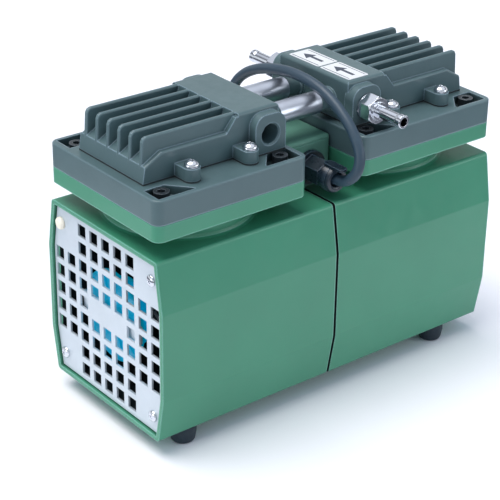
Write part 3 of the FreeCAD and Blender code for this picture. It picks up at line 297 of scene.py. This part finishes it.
# On the black steel and black plastic below, the lighter edges are painted highlight.
black_steel = Finish("black_steel", (50, 56, 60), 0.35, 0.4).soften(0.0004).vary(200, 0.15)
black_steel.gloss(500, 0.28, 0.45).edges((140, 150, 158), 0.0005, 0.8)
black_plastic = Finish("black_plastic", (20, 32, 42), 0.3).soften(0.0006).vary(80, 0.1)
black_plastic.edges((96, 118, 138), 0.0008, 0.7).gloss(300, 0.24, 0.38).bump(1800, 0.00002)
rubber = Finish("rubber", (28, 42, 52), 0.7).soften(0.0008).vary(120, 0.12).gloss(300, 0.6, 0.78)
rubber.bump(1500, 0.00004)
cord_sheath = Finish("cord_sheath", (48, 68, 82), 0.42).vary(90, 0.06).gloss(200, 0.38, 0.48)
cord_sheath.bump(1500, 0.00002).set(Specular_IOR_Level=0.5)
fan_plastic = Finish("fan_plastic", (0, 172, 206), 0.35).vary(60, 0.08).gloss(200, 0.3, 0.42)
# The fan glows a little: painted light, so that it shows bright behind the grille.
fan_plastic.set(Emission_Color=linear(0, 172, 206), Emission_Strength=0.28)
steel = Finish("steel", (180, 186, 194), 0.25, 1.0).vary(150, 0.05).gloss(400, 0.2, 0.34).bump(900, 0.00001)
laminated = Finish("laminated", (108, 112, 118), 0.45, 0.8).vary(60, 0.08)
laminated.bump(2200, 0.00005, 1, (1, 0.02, 0.02)).gloss(300, 0.38, 0.55)
copper = Finish("copper", (168, 92, 50), 0.35, 0.9).vary(200, 0.15, (6, 1, 1)).gloss(400, 0.28, 0.45)
copper.bump(900, 0.0002, 2, (6, 1, 1))
cream = Finish("cream_seal", (246, 236, 216), 0.55).soften(0.0008).vary(300, 0.05)
cream.gloss(500, 0.48, 0.6).bump(900, 0.00004)
gasket_fibre = Finish("gasket_fibre", (44, 50, 50), 0.8).vary(200, 0.15).gloss(400, 0.7, 0.88)
gasket_fibre.bump(1800, 0.00006)
spring_steel = Finish("spring_steel", (150, 160, 172), 0.22, 1.0).vary(150, 0.06).gloss(300, 0.18, 0.3)
cast_raw = Finish("cast_raw", (150, 154, 158), 0.5, 0.7).vary(80, 0.08).gloss(200, 0.42, 0.6)
cast_raw.bump(1200, 0.0001, 4)
brass = Finish("brass", (196, 160, 88), 0.28, 1.0).vary(200, 0.05).gloss(400, 0.22, 0.36)
pale_zinc = Finish("pale_zinc", (222, 228, 232), 0.4).vary(150, 0.05).gloss(400, 0.3, 0.5)
pale_zinc.bump(900, 0.00001)
label_white = Finish("label_white", (232, 230, 228), 0.35).vary(200, 0.02).gloss(400, 0.3, 0.42)
label_ink = Finish("label_ink", (58, 66, 80), 0.45).vary(300, 0.08).gloss(400, 0.4, 0.5)

NODE_FINISH = {
    green_paint: ("left_housing", "right_housing"),
    dark_green: ("terminal_box", "terminal_box_lid"),
    grey_paint: ("left_head_plate", "right_head_plate", "left_head_cover", "right_head_cover"),
    grille_silver: ("left_grille", "right_grille"),
    chrome: ("inlet_nipple", "outlet_nipple", "nipple_washers", "cover_screws", "m4_screws"),
    pipe_steel: ("inlet_pipe", "outlet_pipe"),
    black_steel: ("head_screws", "tie_bolts"),
    black_plastic: ("cable_gland_body", "cable_gland_cap", "plug_body", "terminal_block"),
    rubber: ("rubber_feet", "cable_gland_bush", "left_diaphragm", "right_diaphragm", "pipe_seals"),
    fan_plastic: ("left_fan", "right_fan"),
    steel: ("motor_shaft", "main_bearing_outer_rings", "main_bearing_inner_rings",
            "crank_bearing_inner_rings", "left_crank_bearing_ring", "right_crank_bearing_ring",
            "left_clamp_disc", "right_clamp_disc", "reed_retainers"),
    laminated: ("stator_core", "rotor"),
    copper: ("stator_windings",),
    cream: ("screw_seal_dot",),
    gasket_fibre: ("case_gasket", "cover_gaskets"),
    spring_steel: ("left_inlet_reed", "right_inlet_reed", "left_outlet_reed", "right_outlet_reed",
                   "run_capacitor"),
    cast_raw: ("left_connecting_rod", "right_connecting_rod", "left_eccentric", "right_eccentric"),
    brass: ("plug_blades",),
    pale_zinc: ("fan_clamps",),
}
for finish, names in NODE_FINISH.items():
    for name in names:
        mesh = nodes[name].data
        mesh.materials.clear()
        mesh.materials.append(finish.material)
cord.data.materials.append(cord_sheath.material)

# The inside of the casing and the faces in its seam are painted near black: painted shade, where the inside
# and the gap lie in shadow. In metres, as the mesh is
SHAFT_HEIGHT = 0.075
CASE_BOTTOM, CASE_TOP, CASE_WALL = 0.012, 0.138, 0.003
SHELL_HALF_WIDTH = 0.056
RIM_END, SEAM_FACE = 0.1362, 0.0011
FACING_AXIS = -0.002
for name in ("left_housing", "right_housing"):
    mesh = nodes[name].data
    mesh.materials.append(inside_painted_shade.material)
    for face in mesh.polygons:
        x, y, z = face.center
        facing_axis = face.normal.y * y + face.normal.z * (z - SHAFT_HEIGHT) < FACING_AXIS
        in_shell = abs(y) < SHELL_HALF_WIDTH and CASE_BOTTOM + CASE_WALL < z < CASE_TOP - CASE_WALL
        in_seam = abs(x) < SEAM_FACE and abs(face.normal.x) > 0.5
        if in_seam or (abs(x) < RIM_END and CASE_BOTTOM < z < CASE_TOP and (in_shell or facing_axis)):
            face.material_index = 1


# Shapes for the pieces
def new_piece(name, bm, body, *finishes):
    mesh = bpy.data.meshes.new(name)
    bm.to_mesh(mesh)
    bm.free()
    for finish in finishes:
        mesh.materials.append(finish.material)
    piece = put(name, mesh)
    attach(piece, body)
    return piece


def turned(bm, profile, base, axis, steps):
    """A profile of (along, radius) turned round the axis through base."""
    axis = Vector(axis).normalized()
    across = axis.orthogonal().normalized()
    other = axis.cross(across)
    rings = []
    for along, radius in profile:
        centre = Vector(base) + axis * along
        if radius == 0:
            rings.append([bm.verts.new(centre * MM)])
            continue
        rings.append([bm.verts.new((centre + (across * math.cos(t) + other * math.sin(t)) * radius) * MM)
                      for t in (2 * math.pi * i / steps for i in range(steps))])
    for first, second in zip(rings, rings[1:]):
        for i in range(steps):
            j = (i + 1) % steps
            corners = [first[i % len(first)], first[j % len(first)],
                       second[j % len(second)], second[i % len(second)]]
            corners = list(dict.fromkeys(corners))
            if len(corners) > 2:
                bm.faces.new(corners).smooth = True


def bridged(bm, first, second):
    """A closed solid between two outlines of the same number of corners, given as vertices."""
    faces = [bm.faces.new(second), bm.faces.new(first[::-1])]
    for i in range(len(first)):
        j = (i + 1) % len(first)
        faces.append(bm.faces.new((first[i], first[j], second[j], second[i])))
    return faces


def solid_box(bm, low, high, turn):
    """A box between two corners, turned by a matrix."""
    ends = [[bm.verts.new((turn @ Vector((x, y, z))) * MM)
             for y, z in ((low[1], low[2]), (high[1], low[2]), (high[1], high[2]), (low[1], high[2]))]
            for x in (low[0], high[0])]
    bridged(bm, *ends)


def flat_shape(bm, outline, low, high, index=0):
    """A plate of the outline between two heights."""
    bottom, top = ([bm.verts.new(mm(x, y, z)) for x, y in outline] for z in (low, high))
    for face in bridged(bm, bottom, top):
        face.material_index = index


def rounded_outline(x0, x1, y0, y1, radius, steps=5):
    points = []
    for x, y, start in ((x1, y1, 0), (x0, y1, 90), (x0, y0, 180), (x1, y0, 270)):
        cx = x - radius if x == x1 else x + radius
        cy = y - radius if y == y1 else y + radius
        for i in range(steps + 1):
            angle = math.radians(start + 90 * i / steps)
            points.append((cx + radius * math.cos(angle), cy + radius * math.sin(angle)))
    return points


def outward(bm):
    bmesh.ops.recalc_face_normals(bm, faces=bm.faces)


# Screws with a domed head and a cross recess, one for each CAD screw
MERGE_DISTANCE = 1e-6
END_SHARE = 0.2
SCREW_STEPS = 32
UNDER_WIDTH, UNDER_HEAD, RIM_RISE = 0.97, 0.8, 0.78
TIP_CHAMFER = 0.6
CUTTER_RISE, RECESS_TAPER = 0.5, 0.45
FIRST_TURN, TURN_STEP = 25, 37
SCREW_CREASE = 40


def islands(mesh):
    """For each separate solid: the middle of its wider end, the way out of that end and its length."""
    work = bmesh.new()
    work.from_mesh(mesh)
    bmesh.ops.remove_doubles(work, verts=work.verts, dist=MERGE_DISTANCE)
    seen = set()
    # Taken in the mesh's own order, so that each run turns the same screw by the same angle
    for first in work.verts:
        if first in seen:
            continue
        seen.add(first)
        island, queue = [], [first]
        while queue:
            vert = queue.pop()
            island.append(vert.co.copy())
            for edge in vert.link_edges:
                other = edge.other_vert(vert)
                if other not in seen:
                    seen.add(other)
                    queue.append(other)
        low = Vector([min(co[k] for co in island) for k in range(3)])
        high = Vector([max(co[k] for co in island) for k in range(3)])
        size = high - low
        k = max(range(3), key=lambda i: size[i])
        middle = (low + high) / 2
        widths = []
        for end in (low[k], high[k]):
            near = [co - middle for co in island if abs(co[k] - end) < size[k] * END_SHARE]
            widths.append(max(math.hypot(*[co[i] for i in range(3) if i != k]) for co in near))
        way = -1 if widths[0] > widths[1] else 1
        axis = Vector((0, 0, 0))
        axis[k] = way
        top = middle.copy()
        top[k] = low[k] if way < 0 else high[k]
        yield top / MM, axis, size[k] / MM
    work.free()


def crossed_screws(node, shank, head, height, depth, reach, arm):
    """Screws of a shank and head radius and a head height, with a cross recess of a depth, half length and
    half width."""
    rise = [math.radians(angle) for angle in range(0, 90, 10)]
    dome = [(height * (math.sin(angle) - 1), head * math.cos(angle)) for angle in rise]
    dome = [(-height * RIM_RISE + (along + height) * RIM_RISE, radius) for along, radius in dome]
    rim = [(-height, head * UNDER_WIDTH), (-height * UNDER_HEAD, head)]
    crown = (rim + dome)[::-1]
    body, cut = bmesh.new(), bmesh.new()
    for number, (top, axis, length) in enumerate(islands(nodes[node].data)):
        stem = [(-height, shank), (-length + TIP_CHAMFER, shank),
                (-length, shank - TIP_CHAMFER), (-length, 0)]
        turned(body, [(0, 0)] + crown + stem, top, axis, SCREW_STEPS)
        turn = Matrix.Rotation(math.radians(FIRST_TURN + TURN_STEP * number), 3, axis)
        across = turn @ axis.orthogonal().normalized()
        for side in (across, axis.cross(across)):
            third = axis.cross(side)
            ends = [[cut.verts.new((top + axis * along + side * (half * a) + third * (arm * b)) * MM)
                     for a, b in ((-1, -1), (1, -1), (1, 1), (-1, 1))]
                    for along, half in ((-depth, reach * RECESS_TAPER), (CUTTER_RISE, reach))]
            bridged(cut, *ends)
    outward(body)
    outward(cut)
    screws = new_piece(node + "_crossed", body, "housing", chrome)
    cutter_mesh = bpy.data.meshes.new("cross_cutter")
    cut.to_mesh(cutter_mesh)
    cut.free()
    cutter = put("cross_cutter", cutter_mesh)
    carve = screws.modifiers.new("carve", "BOOLEAN")
    carve.operation = "DIFFERENCE"
    carve.solver = "EXACT"
    carve.use_self = True
    carve.object = cutter
    bpy.context.view_layer.update()
    carved = bpy.data.meshes.new_from_object(screws.evaluated_get(bpy.context.evaluated_depsgraph_get()))
    screws.modifiers.clear()
    screws.data = carved
    bpy.data.objects.remove(cutter)
    carved.set_sharp_from_angle(angle=math.radians(SCREW_CREASE))
    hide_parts(node)


crossed_screws("cover_screws", shank=2.45, head=4.8, height=4.2, depth=1.9, reach=2.1, arm=0.42)
crossed_screws("m4_screws", shank=1.95, head=4.0, height=2.6, depth=1.3, reach=1.9, arm=0.38)

# Fans: a closed impeller whose front disc shows behind the grille
FAN_FRONT, FAN_BACK, FAN_RADIUS, BACK_RADIUS = 133.6, 119.0, 31.0, 23.0
HUB_RADIUS, HUB_BORE, HUB_END = 11.0, 5.2, 116.0
DISC_FACE, DISC_RIM, DISC_UNDER, DISC_LIP = (FAN_FRONT - depth for depth in (0.8, 0.2, 2.2, 3.0))
BACK_THICKNESS = 2
BLADES, BLADE_HALF, FIRST_BLADE = 12, 0.75, 9
RIB_HALF, RIB_LOW, RIB_HIGH = 0.6, FAN_FRONT - 1.2, FAN_FRONT - 0.1
AXIS_HEIGHT = 75
FAN_STEPS, FAN_CREASE = 64, 30
FRONT_PROFILE = [
    (FAN_FRONT, HUB_BORE), (FAN_FRONT, HUB_RADIUS), (DISC_FACE, HUB_RADIUS + 1.2),
    (DISC_FACE, FAN_RADIUS - 2.2), (DISC_RIM, FAN_RADIUS - 1.8), (DISC_RIM, FAN_RADIUS - 0.5),
    (FAN_FRONT - 0.6, FAN_RADIUS), (DISC_LIP, FAN_RADIUS), (DISC_LIP, FAN_RADIUS - 1.2),
    (DISC_UNDER, FAN_RADIUS - 2.4), (DISC_UNDER, HUB_RADIUS), (HUB_END, HUB_RADIUS), (HUB_END, HUB_BORE),
    (FAN_FRONT, HUB_BORE)]
BACK_PROFILE = [
    (FAN_BACK, HUB_RADIUS - 0.5), (FAN_BACK, BACK_RADIUS), (FAN_BACK + BACK_THICKNESS, BACK_RADIUS),
    (FAN_BACK + BACK_THICKNESS, HUB_RADIUS - 0.5), (FAN_BACK, HUB_RADIUS - 0.5)]
BLADE_OUTLINE = [
    (FAN_BACK + 1, HUB_RADIUS - 1), (FAN_BACK + 1, BACK_RADIUS - 0.5), (FAN_FRONT - 1.5, FAN_RADIUS - 0.6),
    (FAN_FRONT - 1.5, HUB_RADIUS - 1)]
for side, node in ((-1, "left_fan"), (1, "right_fan")):
    bm = bmesh.new()
    for profile in (FRONT_PROFILE, BACK_PROFILE):
        turned(bm, profile, (0, 0, AXIS_HEIGHT), (side, 0, 0), FAN_STEPS)
    rib_low, rib_high = sorted((side * RIB_LOW, side * RIB_HIGH))
    for i in range(BLADES):
        turn = Matrix.Translation((0, 0, AXIS_HEIGHT)) @ Matrix.Rotation(
            math.radians(360 / BLADES * i + FIRST_BLADE), 4, "X")
        bridged(bm, *([bm.verts.new((turn @ Vector((side * x, y, z))) * MM) for x, z in BLADE_OUTLINE]
                      for y in (-BLADE_HALF, BLADE_HALF)))
        solid_box(bm, (rib_low, -RIB_HALF, HUB_RADIUS - 0.5), (rib_high, RIB_HALF, FAN_RADIUS - 1.5), turn)
    outward(bm)
    piece = new_piece(node + "_impeller", bm, "shaft", fan_plastic)
    piece.data.set_sharp_from_angle(angle=math.radians(FAN_CREASE))
    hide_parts(node)

# Paint seal over the head of one grille screw
ROUND_STEPS = 48
SEAL_PLACE = (-138.0, 50.0, 123.0)
SEAL_PROFILE = [(0.02, 0), (0.02, 4.15), (0.9, 4.3), (1.6, 4.15), (2.3, 3.7), (2.75, 2.9), (2.95, 1.8),
                (3.0, 0)]
bm = bmesh.new()
turned(bm, SEAL_PROFILE, SEAL_PLACE, (-1, 0, 0), ROUND_STEPS)
outward(bm)
piece = new_piece("paint_seal", bm, "housing", cream)
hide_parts("screw_seal_dot")

# Cap of the cable gland: a rounded sleeve round the cord, with a tongue over it
SLEEVE_PROFILE = [(44.0, 4.6), (44.0, 8.3), (44.7, 9.0), (50.4, 9.0), (51.0, 8.6), (51.6, 9.0), (53.0, 8.8),
                  (54.2, 7.9), (54.6, 6.6), (54.3, 5.4), (53.4, 4.6), (44.0, 4.6)]
GLAND_CENTRE = (5.0, 0, 152.0)
SLEEVE_CREASE = 35
bm = bmesh.new()
turned(bm, SLEEVE_PROFILE, GLAND_CENTRE, (0, -1, 0), ROUND_STEPS)
flat_shape(bm, rounded_outline(0.8, 7.4, -62.0, -44.0, 2.4), 160.8, 162.4)
flat_shape(bm, rounded_outline(1.6, 6.6, -52.6, -44.0, 1.4), 158.4, 160.8)
outward(bm)
piece = new_piece("gland_sleeve", bm, "housing", black_plastic)
piece.data.set_sharp_from_angle(angle=math.radians(SLEEVE_CREASE))
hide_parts("cable_gland_cap")

# Two labels on the right head, each with an arrow the way the air flows and a line along both long sides
LABEL_BOTTOM, LABEL_TOP, INK_TOP = 206.95, 207.2, 207.24
LABEL_X = (32.5, 50)
LINES_X, LINE_WIDTH, LINE_MARGIN = (34.0, 47.9), 0.6, 1.6
for label, y0, y1 in (("outlet_label", -0.5, 29.5), ("inlet_label", -31.0, -2.0)):
    bm = bmesh.new()
    flat_shape(bm, rounded_outline(*LABEL_X, y0, y1, 1.2), LABEL_BOTTOM, LABEL_TOP)
    middle = (y0 + y1) / 2
    inked = [[(40, middle - 9.5), (42.5, middle - 9.5), (42.5, middle + 2), (40, middle + 2)],
             [(36.6, middle + 2), (45.9, middle + 2), (41.25, middle + 10)]]
    for x in LINES_X:
        inked.append([(x, y0 + LINE_MARGIN), (x + LINE_WIDTH, y0 + LINE_MARGIN),
                      (x + LINE_WIDTH, y1 - LINE_MARGIN), (x, y1 - LINE_MARGIN)])
    for outline in inked:
        flat_shape(bm, outline, LABEL_TOP, INK_TOP, 1)
    new_piece(label, bm, "housing", label_white, label_ink)

# Floor
FLOOR_HALF, FLOOR_DROP = 6, 0.0002
PAPER, DUSK = (0.985, 0.945, 0.945, 1), (0.12, 0.12, 0.13, 1)
# Mirrored in gloss, the paper ends a little way in front of the object
PAPER_ENDS, DUSK_STARTS = 0.36, 0.52


def floor_paper():
    material = bpy.data.materials.new("floor_paper")
    material.use_nodes = True
    paper = Nodes(material.node_tree)
    paper.tree.nodes.clear()
    place = paper.add("ShaderNodeTexCoord")
    reach = paper.add("ShaderNodeVectorMath", operation="LENGTH")
    edge = paper.add("ShaderNodeMapRange", {"From Min": PAPER_ENDS, "From Max": DUSK_STARTS},
                     interpolation_type="SMOOTHSTEP")
    path = paper.add("ShaderNodeLightPath")
    share = paper.add("ShaderNodeMath", operation="MULTIPLY")
    near = paper.add("ShaderNodeBsdfDiffuse", {"Color": PAPER})
    far = paper.add("ShaderNodeBsdfDiffuse", {"Color": DUSK})
    blend = paper.add("ShaderNodeMixShader")
    out = paper.add("ShaderNodeOutputMaterial")
    paper.link(place.outputs["Object"], reach, 0)
    paper.link(reach.outputs["Value"], edge, "Value")
    paper.link(edge.outputs["Result"], share, 0)
    paper.link(path.outputs["Is Glossy Ray"], share, 1)
    paper.link(share.outputs[0], blend, 0)
    paper.link(near.outputs[0], blend, 1)
    paper.link(far.outputs[0], blend, 2)
    paper.link(blend.outputs[0], out, "Surface")
    return material


scene.view_settings.view_transform = "Standard"
floor_mesh = bpy.data.meshes.new("floor")
corners = [(x * FLOOR_HALF, y * FLOOR_HALF, 0) for x, y in ((-1, -1), (1, -1), (1, 1), (-1, 1))]
floor_mesh.from_pydata(corners, [], [(0, 1, 2, 3)])
floor_mesh.materials.append(floor_paper())
floor = put("floor", floor_mesh)
floor.location = (0, 0, -FLOOR_DROP)

# Surroundings: soft bluish light, a white backdrop, and a studio with a darker band for reflections
SOFT_COLOUR, SOFT_STRENGTH = (0.62, 0.78, 1.0, 1), 0.60
# Height from straight down to straight up, and how bright it is there
STUDIO_STEPS = [(0.0, 1.0), (0.34, 1.0), (0.42, 0.30), (0.60, 0.24), (0.70, 0.95), (1.0, 1.0)]
STUDIO_TINT = (0.93, 0.97, 1.08)


def studio_light(name):
    world = bpy.data.worlds.new(name)
    world.use_nodes = True
    sky = Nodes(world.node_tree)
    sky.tree.nodes.clear()
    way = sky.add("ShaderNodeTexCoord")
    split = sky.add("ShaderNodeSeparateXYZ")
    studio = sky.add("ShaderNodeValToRGB")
    ramp = studio.color_ramp
    while len(ramp.elements) < len(STUDIO_STEPS):
        ramp.elements.new(0.5)
    for step, (position, brightness) in zip(ramp.elements, STUDIO_STEPS):
        step.position = position
        step.color = (*(min(1, brightness * tint) for tint in STUDIO_TINT), 1)
    path = sky.add("ShaderNodeLightPath")
    plain = sky.add("ShaderNodeMix", {MIX_SECOND: (1, 1, 1, 1)}, data_type="RGBA")
    soft = sky.add("ShaderNodeBackground", {"Color": SOFT_COLOUR, "Strength": SOFT_STRENGTH})
    white = sky.add("ShaderNodeBackground", {"Strength": 1.0})
    seen_or_glossy = sky.add("ShaderNodeMath", operation="MAXIMUM")
    direct = sky.add("ShaderNodeMath", operation="MAXIMUM")
    blend = sky.add("ShaderNodeMixShader")
    out = sky.add("ShaderNodeOutputWorld")
    sky.link(way.outputs["Generated"], split, 0)
    sky.link(split.outputs["Z"], studio, "Fac")
    sky.link(path.outputs["Is Camera Ray"], plain, MIX_FACTOR)
    sky.link(studio.outputs["Color"], plain, MIX_FIRST)
    sky.link(plain.outputs[MIX_RESULT], white, "Color")
    sky.link(path.outputs["Is Camera Ray"], seen_or_glossy, 0)
    sky.link(path.outputs["Is Glossy Ray"], seen_or_glossy, 1)
    sky.link(seen_or_glossy.outputs[0], direct, 0)
    sky.link(path.outputs["Is Transmission Ray"], direct, 1)
    sky.link(direct.outputs[0], blend, 0)
    sky.link(soft.outputs[0], blend, 1)
    sky.link(white.outputs[0], blend, 2)
    sky.link(blend.outputs[0], out, "Surface")
    return world


scene.world = studio_light("studio")

# Lamps, aimed at a point inside the pump
LAMP_TARGET = Vector((0, 0, 0.1))


def lamp(name, kind, place, energy, colour, **settings):
    light = bpy.data.lights.new(name, kind)
    light.energy = energy
    light.color = colour
    for key, value in settings.items():
        setattr(light, key, value)
    obj = put(name, light)
    obj.location = place
    obj.rotation_mode = "QUATERNION"
    obj.rotation_quaternion = (LAMP_TARGET - Vector(place)).to_track_quat("-Z", "Y")


lamp("key", "SUN", (-0.45, 0.3, 1.9), 2.6, (0.97, 0.955, 0.96), angle=math.radians(45))
lamp("fill", "AREA", (1.0, -1.2, 0.6), 3.6, (0.93, 0.97, 1.0), shape="DISK", size=0.8)
lamp("side", "AREA", (-1.5, 0.0, 0.35), 3.4, (0.90, 0.96, 1.0), shape="DISK", size=0.6)
